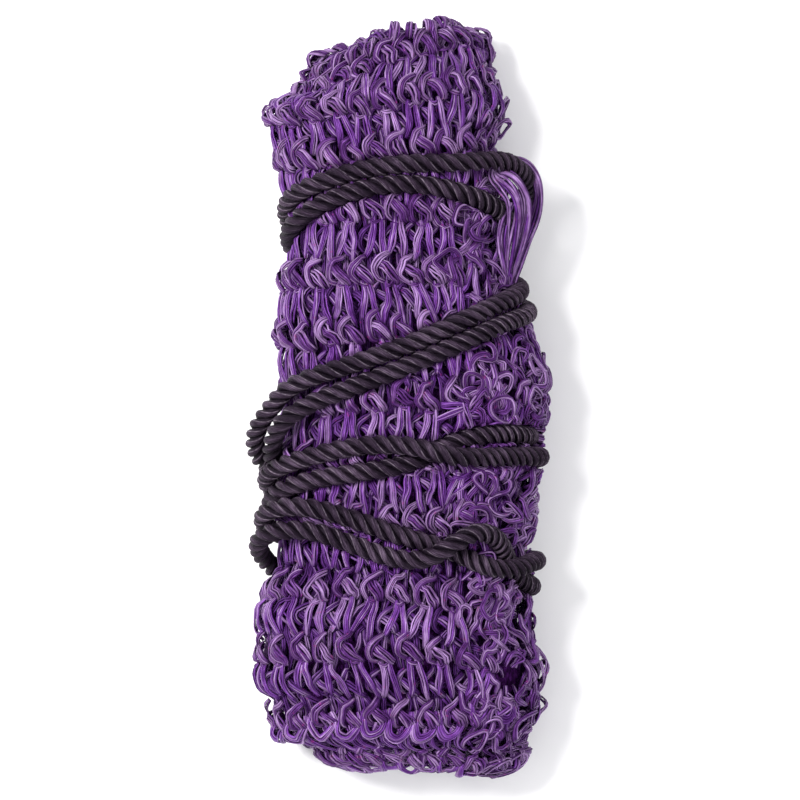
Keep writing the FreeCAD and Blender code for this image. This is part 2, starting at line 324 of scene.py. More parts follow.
class Nodes:
    """Short ways to add the nodes of one material."""

    def __init__(self, name):
        self.material = bpy.data.materials.new(name)
        self.material.use_nodes = True
        self.tree = self.material.node_tree
        self.shader = self.tree.nodes["Principled BSDF"]

    def add(self, kind, **settings):
        node = self.tree.nodes.new(kind)
        for key, value in settings.items():
            setattr(node, key, value)
        return node

    def join(self, output, socket):
        self.tree.links.new(output, socket)

    def feed(self, socket, value):
        """Gives a socket a number, a linear colour or another node's output."""
        if isinstance(value, tuple):
            socket.default_value = (*value, 1.0)
        elif isinstance(value, (int, float)):
            socket.default_value = value
        else:
            self.join(value, socket)

    def math(self, operation, first, second=0.0, third=0.0):
        node = self.add("ShaderNodeMath", operation=operation)
        for socket, value in zip(node.inputs, (first, second, third)):
            self.feed(socket, value)
        return node.outputs[0]

    def ramp(self, factor, stops):
        """A colour ramp: each stop has its place, and its colour as 0 to 255 screen values."""
        node = self.add("ShaderNodeValToRGB")
        elements = node.color_ramp.elements
        while len(elements) < len(stops):
            elements.new(0.5)
        for element, (place, *colour) in zip(elements, stops):
            element.position = place
            element.color = (*srgb(*colour), 1.0)
        self.join(factor, node.inputs["Fac"])
        return node.outputs["Color"]

    def grey(self, factor, low, high):
        """A share from 0 to 1, as factor goes from low to high."""
        node = self.add("ShaderNodeMapRange", clamp=True)
        self.join(factor, node.inputs["Value"])
        node.inputs["From Min"].default_value = low
        node.inputs["From Max"].default_value = high
        return node.outputs["Result"]

    def mix(self, factor, first, second):
        node = self.add("ShaderNodeMix", data_type="RGBA")
        sockets = {socket.name: socket for socket in node.inputs
                   if socket.type == ("VALUE" if socket.name == "Factor" else "RGBA")}
        for name, value in (("Factor", factor), ("A", first), ("B", second)):
            self.feed(sockets[name], value)
        return next(socket for socket in node.outputs if socket.type == "RGBA")

    def lay(self):
        """The way round each tube plus its number, its number, and the way along it."""
        parts = self.add("ShaderNodeSeparateXYZ")
        self.join(self.add("ShaderNodeUVMap", uv_map="lay").outputs["UV"], parts.inputs[0])
        number = self.math("FLOOR", self.math("ADD", parts.outputs["X"], 0.0001))
        return parts.outputs["X"], number, parts.outputs["Y"]

    def noise(self, vector, scale, detail=2.0, roughness=0.5):
        node = self.add("ShaderNodeTexNoise")
        node.inputs["Scale"].default_value = scale
        node.inputs["Detail"].default_value = detail
        node.inputs["Roughness"].default_value = roughness
        self.join(vector, node.inputs["Vector"])
        return node.outputs["Fac"]

    def vector(self, x, y, z=0.0):
        node = self.add("ShaderNodeCombineXYZ")
        for socket, value in zip(node.inputs, (x, y, z)):
            self.feed(socket, value)
        return node.outputs[0]

    def surface(self, values):
        """Feeds the shader's inputs, by their names."""
        for name, value in values.items():
            self.feed(self.shader.inputs[name], value)

    def place(self):
        return self.add("ShaderNodeTexCoord").outputs["Object"]

    def bump(self, height, strength, distance):
        node = self.add("ShaderNodeBump")
        node.inputs["Strength"].default_value = strength
        node.inputs["Distance"].default_value = distance
        self.join(height, node.inputs["Height"])
        self.join(node.outputs["Normal"], self.shader.inputs["Normal"])


def srgb(red, green, blue):
    """Linear colour from 0 to 255 screen values."""
    values = []
    for value in (red, green, blue):
        share = value / 255.0
        values.append(share / 12.92 if share < 0.04045 else ((share + 0.055) / 1.055) ** 2.4)
    return tuple(values)


def twine_material(name, stops, sheen_share, roughness):
    """Split polyethylene tape: fine streaks along each ribbon, whose brightest are painted
    highlights, and each ribbon its own shade.

    The third argument is roughly the share of the ribbons with a painted grey sheen, paler and
    greyer.
    """
    nodes = Nodes(name)
    way, number, gone = nodes.lay()
    fine = nodes.noise(nodes.vector(nodes.math("MULTIPLY", way, 15.0),
                                    nodes.math("MULTIPLY", gone, 90.0)), 1.0, 3.0, 0.6)
    broad = nodes.noise(nodes.vector(nodes.math("MULTIPLY", way, 3.1),
                                     nodes.math("MULTIPLY", gone, 210.0)), 1.0, 2.0)
    shade = nodes.add("ShaderNodeTexWhiteNoise", noise_dimensions="1D")
    nodes.join(number, shade.inputs["W"])
    own = shade.outputs["Value"]
    cloud = nodes.noise(nodes.place(), 120.0, 2.0)
    level = nodes.math("MULTIPLY_ADD", fine, 0.95, nodes.math("MULTIPLY", broad, 0.45))
    level = nodes.math("SUBTRACT", level, 0.20)
    level = nodes.math("MULTIPLY_ADD", nodes.math("SUBTRACT", own, 0.5), 0.34, level)
    level = nodes.math("MULTIPLY_ADD", nodes.math("SUBTRACT", cloud, 0.5), 0.35, level)
    # streaks and noise run the ramp from painted shadow to painted lavender highlights
    colour = nodes.ramp(level, stops)
    # painted grey sheen: paler, greyer shades on some ribbons, at random
    grey_sheen = nodes.grey(nodes.math("ADD", own, cloud), 1.35 - sheen_share, 1.55 - sheen_share)
    colour = nodes.mix(nodes.math("MULTIPLY", grey_sheen, 0.75), colour, nodes.ramp(level, GREY_SHEEN))
    # painted shade along the two edges of each ribbon, in the grooves between ribbons, and a few
    # red specks
    edge = nodes.math("FRACT", nodes.math("MULTIPLY", way, 2.0))
    edge = nodes.math("ABSOLUTE", nodes.math("SUBTRACT", edge, 0.5))
    edge = nodes.grey(edge, 0.24, 0.46)
    colour = nodes.mix(nodes.math("MULTIPLY", edge, 0.85), colour, srgb(36, 6, 54))
    spots = nodes.grey(nodes.noise(nodes.place(), 420.0, 1.0), 0.70, 0.76)
    colour = nodes.mix(nodes.math("MULTIPLY", spots, 0.4), colour, srgb(140, 34, 104))
    rough = nodes.math("MULTIPLY_ADD", fine, 0.35, roughness)
    rough = nodes.math("MULTIPLY_ADD", edge, 0.30, rough)
    nodes.surface({"Base Color": colour, "Roughness": rough, "IOR": 1.54,
                   "Specular IOR Level": 0.58, "Specular Tint": srgb(208, 142, 255)})
    nodes.bump(fine, 0.8, 0.00025)
    return nodes.material


def core_shade_material():
    """The depth of the roll between the twines, where little light comes: its dark purple is
    painted shade.
    """
    nodes = Nodes("net_depth")
    stretched = nodes.add("ShaderNodeMapping")
    stretched.inputs["Scale"].default_value = (1.0, 0.35, 1.0)
    nodes.join(nodes.place(), stretched.inputs["Vector"])
    fibres = nodes.noise(stretched.outputs["Vector"], 900.0, 3.0, 0.6)
    colour = nodes.ramp(fibres, ((0.35, 26, 2, 36), (0.55, 54, 12, 72), (0.75, 92, 38, 118)))
    nodes.surface({"Base Color": colour, "Roughness": nodes.grey(fibres, -1.0, 1.2),
                   "Specular IOR Level": 0.05})
    nodes.bump(fibres, 1.0, 0.001)
    return nodes.material


def cord_material():
    """Satin black cord: fine filaments along each strand, a pale painted highlight line on its
    edge and painted shade in the crevices.
    """
    nodes = Nodes("black_cord")
    way, number, gone = nodes.lay()
    filament = nodes.noise(nodes.vector(
        nodes.math("MULTIPLY", way, 34.0),
        nodes.math("MULTIPLY_ADD", gone, 260.0, nodes.math("MULTIPLY", way, 6.0))), 1.0, 3.0, 0.65)
    cloud = nodes.noise(nodes.place(), 60.0, 3.0)
    level = nodes.math("MULTIPLY_ADD", nodes.math("SUBTRACT", cloud, 0.5), 0.5, filament)
    colour = nodes.ramp(level, ((0.30, 4, 0, 6), (0.5, 36, 24, 39), (0.70, 98, 82, 102)))
    turn = nodes.math("FRACT", way)
    # painted highlight: a thin pale line along one edge of each strand, broken into dashes
    line = nodes.math("ABSOLUTE", nodes.math("SUBTRACT", turn, 0.155))
    line = nodes.math("SUBTRACT", 1.0, nodes.grey(line, 0.012, 0.035))
    broken = nodes.grey(nodes.noise(nodes.vector(0.0, nodes.math("MULTIPLY", gone, 420.0),
                                                 number), 1.0, 3.0, 0.7), 0.35, 0.62)
    highlight_line = nodes.math("MULTIPLY", nodes.math("MULTIPLY", line, broken), 0.9)
    colour = nodes.mix(highlight_line, colour, srgb(152, 137, 154))
    # painted shade in the crevices, on the side of each strand that faces the cord's middle
    crevice_shade = nodes.math("ABSOLUTE", nodes.math("SUBTRACT", turn, 0.5))
    crevice_shade = nodes.math("SUBTRACT", 1.0, nodes.grey(crevice_shade, 0.27, 0.42))
    colour = nodes.mix(nodes.math("MULTIPLY", crevice_shade, 0.85), colour, srgb(4, 0, 6))
    nodes.surface({"Base Color": colour,
                   "Roughness": nodes.math("MULTIPLY_ADD", filament, 0.3, 0.36),
                   "Specular IOR Level": 0.20, "Specular Tint": srgb(235, 215, 245)})
    nodes.bump(filament, 0.9, 0.0006)
    return nodes.material


def floor_material():
    nodes = Nodes("floor")
    grain = nodes.noise(nodes.place(), 30.0, 2.0)
    colour = nodes.ramp(grain, ((0.3, 247, 247, 247), (0.7, 250, 250, 250)))
    nodes.surface({"Base Color": colour, "Roughness": 0.9, "Specular IOR Level": 0.1})
    return nodes.material


# ---- the outline of the net, as rings round the roll ----

def end_shift(slant, across):
    """How far up Y a slanted end lies at some places across it."""
    places, shifts = np.array(slant).T
    return np.interp(across, places, shifts)


class Skin:
    """The net's outer outline: rings round the roll, each of points evenly round it.

    A place on it is a share of the way round from the middle of the underside, up the left
    side, and a distance along the roll from its bottom end.
    """

    RAYS = 360                  # cast towards the middle of each ring
    POINTS = 300                # of each ring, once they lie evenly round it
    REACH = 0.2                 # further out than any of the net
    RING_STEP = 0.002
    ENDS = (-0.1570, 0.1530)
    LEVELS = (0.012, 0.018, 0.024, 0.03)    # heights where the roll's width is measured
    CENTRE_HEIGHT = 0.48        # of the rings' middles, as a share of the roll's depth there
    CENTRE_PASSES = 6           # of smoothing, along the line of the rings' middles
    NO_HIT = 0.001              # radius where a ray meets no net
    # each end is closed by rings of this share of the last one, this much further out
    CAP = ((0.985, 0.0022), (0.955, 0.0040), (0.90, 0.0054), (0.78, 0.0064), (0.55, 0.0070),
           (0.30, 0.0073), (0.06, 0.0074))
    CAP_SHIFT = 0.002           # the end bulges to the right of its middle
    # how far up Y each end lies, from place to place across it
    BOTTOM_SLANT = ((-0.062, -0.001), (-0.042, 0.0019), (-0.015, 0.0), (0.045, -0.0015),
                    (0.062, 0.002))
    MOUTH_SLANT = ((-0.060, -0.011), (-0.037, -0.0090), (-0.010, 0.0028), (0.0, 0.0034),
                   (0.022, 0.0038), (0.034, 0.0010), (0.045, -0.002))
    SLANT_FROM = (-0.125, 0.120)        # where along Y the slant of each end starts
    # swellings of the sides: which side, how far along Y, its reach and its size
    SWELLINGS = ((-1, 0.099, 0.014, 0.0045), (-1, -0.048, 0.009, 0.0035),
                 (-1, -0.090, 0.009, 0.0035), (-1, -0.111, 0.010, -0.0045),
                 (-1, -0.128, 0.012, 0.0035), (1, -0.101, 0.009, -0.0035),
                 (1, -0.031, 0.008, 0.003), (1, 0.111, 0.008, -0.0030))
    SWELLING_FROM = 0.025       # how far out from the roll's middle they start, and are full
    SWELLING_FULL = 0.050
    GROOVE = 6                  # rings either side that close over the grooves of the cord
    SOFT_REACH = 4              # rings and rays either side that soften the outline
    SOFTNESS = 1.3              # standard deviation of their weights

    def __init__(self, nodes):
        places, faces, start = [], [], 0
        for node in nodes:
            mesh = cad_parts[node].data
            places.extend(v.co.copy() for v in mesh.vertices)
            faces.extend([i + start for i in polygon.vertices] for polygon in mesh.polygons)
            start = len(places)
        self.tree = BVHTree.FromPolygons(places, faces)
        count = int(round((self.ENDS[1] - self.ENDS[0]) / self.RING_STEP)) + 1
        self.y = np.linspace(self.ENDS[0], self.ENDS[1], count)
        self.angles = -math.pi / 2 - 2 * math.pi * np.arange(self.RAYS) / self.RAYS
        centres = self.find_centres()
        radii = self.soften(self.close_grooves(self.cast(centres)))
        rings = [self.ring(centre, radius) for centre, radius in zip(centres, radii)]
        self.rings = np.array(self.capped(rings))
        self.shape_ends_and_sides()
        # distances along the roll are the ones over the top of it
        steps = np.linalg.norm(np.diff(self.rings, axis=0), axis=2)
        top = slice(int(0.3 * self.POINTS), int(0.7 * self.POINTS))
        self.along = np.concatenate([[0.0], np.cumsum(steps[:, top].mean(axis=1))])
        closed = np.concatenate([self.rings, self.rings[:, :1]], axis=1)
        self.girth = np.linalg.norm(np.diff(closed, axis=1), axis=2).sum(axis=1)
        around = np.roll(self.rings, -1, axis=1) - np.roll(self.rings, 1, axis=1)
        lengthwise = np.gradient(self.rings, axis=0)
        self.normals = unit(np.cross(around, lengthwise))

    def find_centres(self):
        """The middle of each ring, smoothed along the roll."""
        centres = []
        for y in self.y:
            hits = []
            for height in self.LEVELS:
                for side in (-1, 1):
                    start = Vector((side * self.REACH, y, height))
                    hits.append(self.tree.ray_cast(start, Vector((-side, 0, 0)))[0])
            widths = [hit.x for hit in hits if hit]
            middle = (min(widths) + max(widths)) / 2
            top = self.tree.ray_cast(Vector((middle, y, self.REACH)), Vector((0, 0, -1)))[0]
            centres.append((middle, y, top.z * self.CENTRE_HEIGHT))
        centres = np.array(centres)
        smooth = centres.copy()
        for _ in range(self.CENTRE_PASSES):
            smooth[1:-1] = (smooth[:-2] + 2 * smooth[1:-1] + smooth[2:]) / 4
        smooth[:, 1] = centres[:, 1]
        return smooth

    def cast(self, centres):
        """How far each ring's outline lies from its middle, by rays from outside."""
        radii = np.zeros((len(centres), self.RAYS))
        for i, centre in enumerate(centres):
            middle = Vector(centre)
            for k, angle in enumerate(self.angles):
                way = Vector((math.cos(angle), 0.0, math.sin(angle)))
                hit = self.tree.ray_cast(middle + way * self.REACH, -way, self.REACH)[0]
                radii[i, k] = (hit - middle).length if hit else self.NO_HIT
        return radii

    def close_grooves(self, radii):
        """Hollows narrower than the window filled, without widening the two ends."""
        reach = self.GROOVE
        count = len(radii) + 2 * reach
        padded = np.pad(radii, ((2 * reach, 2 * reach), (0, 0)), constant_values=-np.inf)
        widest = np.max([padded[i:i + count] for i in range(2 * reach + 1)], axis=0)
        return np.min([widest[i:i + len(radii)] for i in range(2 * reach + 1)], axis=0)

    def soften(self, radii):
        reach = self.SOFT_REACH
        shares = np.exp(-0.5 * (np.arange(-reach, reach + 1) / self.SOFTNESS) ** 2)
        shares /= shares.sum()
        padded = np.pad(radii, ((reach, reach), (0, 0)), mode="edge")
        radii = sum(share * padded[i:i + len(radii)] for i, share in enumerate(shares))
        return sum(share * np.roll(radii, i - reach, axis=1) for i, share in enumerate(shares))

    def ring(self, centre, radius):
        """Points evenly round one ring."""
        points = centre + np.stack([radius * np.cos(self.angles), np.zeros_like(radius),
                                    radius * np.sin(self.angles)], axis=1)
        points = np.concatenate([points, points[:1]])
        gone = distance_along(points)
        even = np.linspace(0.0, gone[-1], self.POINTS, endpoint=False)
        return np.stack([np.interp(even, gone, points[:, axis]) for axis in range(3)], axis=1)

    def capped(self, rings):
        """The rings, with each end closed by smaller ones."""
        for end, sign in ((0, -1.0), (-1, 1.0)):
            base = rings[end]
            middle = base.mean(axis=0)
            caps = [middle + (base - middle) * share
                    + np.array((self.CAP_SHIFT * (1.0 - share), sign * bulge, 0.0))
                    for share, bulge in self.CAP]
            rings = caps[::-1] + rings if end == 0 else rings + caps
        return rings

    def shape_ends_and_sides(self):
        """Slants the two ends, then adds the swellings of the sides."""
        across, y = self.rings[..., 0], self.rings[..., 1]
        for slant, near, far in zip((self.BOTTOM_SLANT, self.MOUTH_SLANT), self.SLANT_FROM,
                                    self.ENDS):
            y += ease(y, near, far) * end_shift(slant, across)
        for side, middle, reach, size in self.SWELLINGS:
            near = np.exp(-((y - middle) / reach) ** 2)
            near = near * ease(side * across, self.SWELLING_FROM, self.SWELLING_FULL)
            across += side * size * near

    def at(self, share, along, out):
        """Places on the skin, and out from it, with the skin's outward direction there."""
        ring = np.interp(along, self.along, np.arange(len(self.along)))
        low = np.clip(ring.astype(int), 0, len(self.along) - 2)
        part = (ring - low)[..., None]
        column = (share % 1.0) * self.POINTS
        left = column.astype(int) % self.POINTS
        right = (left + 1) % self.POINTS
        across = (column - np.floor(column))[..., None]

        def blend(grid):
            first = grid[low, left] * (1 - across) + grid[low, right] * across
            second = grid[low + 1, left] * (1 - across) + grid[low + 1, right] * across
            return first * (1 - part) + second * part

        normal = unit(blend(self.normals))
        return blend(self.rings) + normal * out[..., None], normal

    def girth_at(self, along):
        return np.interp(along, self.along, self.girth)

    def top_along(self, y):
        """Distances along the roll of places on the middle of its top."""
        return np.interp(y, self.rings[:, self.POINTS // 2, 1], self.along)


# ---- clear of the cord ----

class CordSpace:
    """Moves net that would lie in the cord, or just on it, to under it."""

    CELL = 0.006                # of the grid that finds the places near the cord
    COVER = 0.0065              # net this far out from the cord's middle line stays over it
    PASSES = 3

    def __init__(self, points, radius):
        self.points = points
        self.radius = radius
        self.tree = KDTree(len(points))
        for i, point in enumerate(points):
            self.tree.insert(point, i)
        self.tree.balance()
        margin = 3 * self.CELL
        self.low = points.min(axis=0) - margin
        size = np.ceil((points.max(axis=0) + margin - self.low) / self.CELL)
        self.near = np.zeros(size.astype(int) + 1, dtype=bool)
        cells = ((points - self.low) / self.CELL).astype(int)
        for step in np.ndindex(3, 3, 3):
            shifted = cells + np.array(step) - 1
            self.near[tuple(shifted.T)] = True

    def press(self, places, normals):
        """Places moved inward along the skin's normals until they clear the cord."""
        flat = places.reshape(-1, 3)
        outward = normals.reshape(-1, 3)
        for _ in range(self.PASSES):
            cells = ((flat - self.low) / self.CELL).astype(int)
            inside = np.all((cells >= 0) & (cells < self.near.shape), axis=1)
            inside[inside] = self.near[tuple(cells[inside].T)]
            chosen = np.flatnonzero(inside)
            if not len(chosen):
                break
            nearest = np.array([self.tree.find(flat[i])[1] for i in chosen])
            away = flat[chosen] - self.points[nearest]
            height = (away * outward[chosen]).sum(axis=1)
            aside = away - outward[chosen] * height[:, None]
            sideways = np.linalg.norm(aside, axis=1)
            under = -np.sqrt(np.maximum(self.radius ** 2 - sideways ** 2, 0.0))
            moves = (sideways < self.radius) & (height > under) & (height < self.COVER)
            rows = chosen[moves]
            flat[rows] += outward[rows] * (under - height)[moves][:, None]
        return flat.reshape(places.shape)


def rest_on_floor(places):
    """Places flattened against the floor where they would go through it."""
    soft = 0.8 * MM
    low = places[..., 2] < 8 * soft
    places[..., 2][low] = soft * np.log1p(np.exp(places[..., 2][low] / soft))
    return places


# ---- twine ----

def smooth_shares(count, samples):
    """Each sample's share of each control point, for a smooth line through them all."""
    shares = np.zeros((samples, count))
    for row, place in enumerate(np.linspace(0, count - 1, samples)):
        first = min(int(place), count - 2)
        part = place - first
        for step, share in (
            (-1, -0.5 * part + part ** 2 - 0.5 * part ** 3),
            (0, 1.0 - 2.5 * part ** 2 + 1.5 * part ** 3),
            (1, 0.5 * part + 2.0 * part ** 2 - 1.5 * part ** 3),
            (2, -0.5 * part ** 2 + 0.5 * part ** 3),
        ):
            shares[row, min(max(first + step, 0), count - 1)] += share
    return shares


# Each part of a knot or a curl, in mm from its middle: along the row, along the roll, and
# outward.
HOOK = ((3.5, 7.8, -0.4), (2.1, 6.8, 1.3), (-0.4, 5.1, 2.4), (-2.2, 2.6, 2.5),
        (-2.7, -0.5, 2.0), (-1.6, -3.3, 0.9), (0.8, -4.8, -0.8))
BLOCK = ((-1.3, 3.1, -0.8), (-0.4, 2.4, 1.7), (1.7, 0.6, 3.1), (3.9, -1.7, 3.0),
         (5.6, -3.9, 1.7), (6.0, -5.3, -0.6))
TUCK = ((4.9, -4.6, -0.6), (3.8, -5.5, 1.0), (2.2, -6.0, 1.3), (0.8, -5.4, 0.5),
        (0.0, -4.2, -0.9))
RIGHT_LEG = ((4.2, -3.6, -0.4), (4.9, -8.0, 1.2), (5.7, -13.0, 1.6), (6.5, -18.0, 1.2),
             (7.2, -23.0, -0.8))
LEFT_LEG = ((1.5, -3.8, -0.4), (1.7, -8.0, 1.0), (1.4, -12.5, 1.3), (0.7, -16.5, 0.9),
            (-0.3, -20.5, -0.5))
# Over the rim at the two ends: a hanging loop, and a bump of twines that turn in.
RIM_LOOP = ((-3.2, 2.8, -1.4), (-4.6, -2.0, 1.8), (-3.4, -6.4, 3.0), (0.0, -8.6, 3.2),
            (3.6, -6.6, 2.8), (5.0, -2.0, 1.6), (4.2, 2.5, 0.0))
RIM_BUMP = ((3.0, 4.4, 0.6), (3.3, 7.4, 4.3), (3.7, 10.2, 4.3), (4.0, 12.2, 0.6))
# The curls and slack stretches of the bunched edge.
CURL = ((-3.2, -6.0, -1.5), (-3.8, -1.5, 0.6), (-2.6, 2.8, 2.0), (0.4, 4.4, 2.6),
        (3.2, 2.4, 2.0), (3.4, -1.6, 0.8), (1.4, -4.4, -1.2))
BIG_CURL = ((1.5, -8.5, -2.0), (-1.5, -4.5, 0.8), (-4.6, 0.5, 2.2), (-4.2, 5.2, 2.8),
            (-0.4, 7.2, 3.0), (3.6, 5.2, 2.6), (4.6, 0.4, 2.2), (2.6, -4.0, 1.2),
            (-0.8, -8.0, -1.8))
SLACK = ((-0.8, 8.5, -1.4), (-1.2, 4.0, 0.8), (0.6, 0.0, 1.6), (0.9, -4.0, 1.0),
         (0.4, -8.0, -1.4))

COLUMNS = 25                # knots round each row
# Where each row of knots lies on top of the roll, along Y.
ROWS = (-0.160, -0.142, -0.112, -0.085, -0.053, -0.027, -0.001, 0.028, 0.053, 0.081, 0.109,
        0.1345, 0.1535)
ALL_ROWS = range(len(ROWS))
BELOW_RIM = range(1, len(ROWS))
BOTTOM_ROWS = range(0, 2)
MOUTH_ROW = range(len(ROWS) - 1, len(ROWS))

# A bundle of ribbons that every knot of some rows has: points along it, its ribbons, how far
# apart the outer two lie at its middle, how wide each is, and the rows.
Part = namedtuple("Part", "controls samples ribbons spread width rows", defaults=(ALL_ROWS,))
LEG_PARTS = (
    Part(RIGHT_LEG, 10, 4, 2.3 * MM, 1.15 * MM, BELOW_RIM),
    Part(LEFT_LEG, 10, 4, 2.3 * MM, 1.15 * MM, BELOW_RIM),
)
KNOT_PARTS = (
    Part(TUCK, 7, 2, 0.9 * MM, 1.1 * MM),
    Part(BLOCK, 9, 5, 3.9 * MM, 1.25 * MM),
    Part(HOOK, 14, 4, 2.3 * MM, 1.15 * MM),
)
RIM_LOOPS = (Part(RIM_LOOP, 18, 5, 3.2 * MM, 1.2 * MM, BOTTOM_ROWS),)
RIM_BUMPS = (Part(RIM_BUMP, 9, 5, 4.4 * MM, 1.35 * MM, MOUTH_ROW),)
INNER_PARTS = (
    Part(RIGHT_LEG, 8, 3, 1.8 * MM, 1.25 * MM, BELOW_RIM),
    Part(LEFT_LEG, 8, 3, 1.8 * MM, 1.25 * MM, BELOW_RIM),
    Part(BLOCK, 7, 4, 3.3 * MM, 1.35 * MM),
    Part(HOOK, 9, 3, 1.8 * MM, 1.25 * MM),
)
END_FILLER = Part(SLACK, 9, 4, 2.6 * MM, 1.2 * MM)

# The kinds of twine in the bunched edge: the shares of all its twines where each kind starts
# and ends, its part, how far its points stray in mm, and how far it's turned, in radians.
BUNCHED_KINDS = (
    (0.0, 0.32, Part(CURL, 18, 3, 1.6 * MM, 1.15 * MM), 0.8, 1.0),
    (0.32, 0.80, Part(SLACK, 12, 4, 2.4 * MM, 1.15 * MM), 1.0, 0.5),
    (0.80, 1.0, Part(BIG_CURL, 28, 3, 1.6 * MM, 1.15 * MM), 0.6, 1.2),
)
BUNCHED_TRIES = 2400        # places tried, of which the ones where the net is neat are left out
BUNCHED_DENSITY = 0.95      # share of the places that are kept where the net is untidiest

THICKNESS = 0.8 * MM
CROWN = 0.55 * MM           # how much lower a bundle's outer ribbons lie than its middle
LIFT = 0.14 * MM            # how far its ribbons wander up and down


def waves(run, slowest, quickest, shape):
    """A sine along each ribbon, with its own rate and phase."""
    rate = RANDOM.uniform(slowest, quickest, shape)
    return np.sin(2 * math.pi * (run * rate + RANDOM.random(shape)))


def ribbon_rings(middle, side, out, roll, width, thickness):
    """Rings of four points for flat ribbons, each rolled about its own middle line."""
    cosine = np.cos(roll)[..., None]
    sine = np.sin(roll)[..., None]
    half = width / 2 * (cosine * side + sine * out)
    thick = thickness / 2 * (cosine * out - sine * side)
    return np.stack([middle + half, middle - thick, middle - half, middle + thick], axis=-2)


def bundle_rings(lines, part):
    """Rings of the ribbons of a bundle along each line, as lines x ribbons x samples."""
    direction = unit(np.gradient(lines, axis=1))
    side = unit(np.cross(direction, (0.0, 0.0, 1.0)))
    out = np.cross(side, direction)
    place = np.linspace(-0.5, 0.5, part.ribbons)[None, :, None]
    run = np.linspace(0.0, 1.0, part.samples)
    shape = (len(lines), part.ribbons, 1)
    wander = RANDOM.normal(0.0, 0.12, shape) * waves(run, 0.5, 1.2, shape)
    aside = (place + wander) * part.spread * (0.62 + 0.38 * np.sin(math.pi * run))
    above = LIFT * (RANDOM.normal(0.0, 0.8, shape) + 0.6 * waves(run, 0.4, 1.1, shape))
    above = above - CROWN * (2.0 * place) ** 2
    side = side[:, None]
    out = out[:, None]
    middle = lines[:, None] + side * aside[..., None] + out * above[..., None]
    roll = -place + RANDOM.normal(0.0, 0.16, shape) + 0.2 * waves(run, 0.5, 1.5, shape)
    width = part.width * RANDOM.uniform(0.75, 1.2, shape)
    return ribbon_rings(middle, side, out, roll, width[..., None], THICKNESS)


class Twines:
    """Bundles of flat ribbons laid on the skin, kept for one mesh."""

    def __init__(self, skin, space):
        self.skin = skin
        self.space = space
        self.bundles = []

    def lay(self, part, controls, share, along, depth, turn, size):
        """One part of each knot, through its own controls (knots x points x 3, in mm).

        Each knot has its place on the skin as share and along, its depth in metres out from
        it, the angle it's turned by and its size.
        """
        lines = smooth_shares(controls.shape[1], part.samples) @ (controls * MM)
        cosine = np.cos(turn)[:, None]
        sine = np.sin(turn)[:, None]
        across = lines[..., 0] * cosine - lines[..., 1] * sine
        up = lines[..., 0] * sine + lines[..., 1] * cosine
        lines = np.stack([across, up, lines[..., 2]], axis=-1) * size[:, None, None]
        rings = bundle_rings(lines, part)
        each = (len(controls), 1, 1, 1)
        where = share.reshape(each) + rings[..., 0] / self.skin.girth_at(along).reshape(each)
        lengthwise = along.reshape(each) + rings[..., 1]
        past = np.maximum(-lengthwise, lengthwise - self.skin.along[-1])
        height = depth.reshape(each) + rings[..., 2] - np.maximum(past, 0.0)
        places, normals = self.skin.at(where, lengthwise, height)
        places = rest_on_floor(self.space.press(places, normals))
        places = places.reshape(-1, *places.shape[2:])
        middle = places.mean(axis=2)
        steps = np.linalg.norm(np.diff(middle, axis=1), axis=2)
        marks = np.concatenate([np.zeros((len(steps), 1)), np.cumsum(steps, axis=1)], axis=1)
        marks = marks + RANDOM.uniform(0.0, 2.0, (len(steps), 1))
        self.bundles.append((places, marks))

    def piece(self, name, material):
        return tube_mesh(name, self.bundles, material)


def knot_places(skin, between, offset):
    """Each knot of a layer as a share of the way round, a distance along, and its row.

    between is how far the layer's rows lie from ROWS, as a share of the space to the next, and
    offset how far its columns lie round the roll, as a share of a column.
    """
    rows = skin.top_along(np.array(ROWS))
    rows = rows + between * np.gradient(rows)
    column, row = np.meshgrid(np.arange(COLUMNS), np.arange(len(ROWS)))
    share = ((column + 0.5 * (row % 2) + offset) / COLUMNS).ravel()
    along = np.repeat(rows, COLUMNS)
    places, _ = skin.at(share, along, np.zeros(len(share)))
    # near the mouth the rows rise to the right, over the top of the roll
    tilt = 0.25 * ease(places[:, 1], 0.065, 0.15)
    along = along + tilt * places[:, 0] * (places[:, 2] > 0.02)
    # slow waves, so that neither the rows nor the columns are straight
    along = along + 0.0016 * np.sin(places[:, 0] / 0.021 + places[:, 1] / 0.03)
    share = share + 0.005 * np.sin(along / 0.037 + 1.3) + 0.003 * np.sin(along / 0.013)
    return share, along, row.ravel()


def untidiness(skin, share, along):
    """0 where the net lies in straight rows, 1 where its edge is bunched on the right."""
    places, _ = skin.at(share, along, np.zeros(len(share)))
    right = ease(places[:, 0], 0.020, 0.036)
    neat_top = ease(places[:, 1], 0.085, 0.11)
    return right * (1.0 - 0.75 * neat_top)


def jittered(controls, knots, amount):
    """A copy of the control points for each knot, each moved a little, in mm."""
    points = np.array(controls)
    return points + RANDOM.normal(0.0, amount, (knots, len(points), 3))


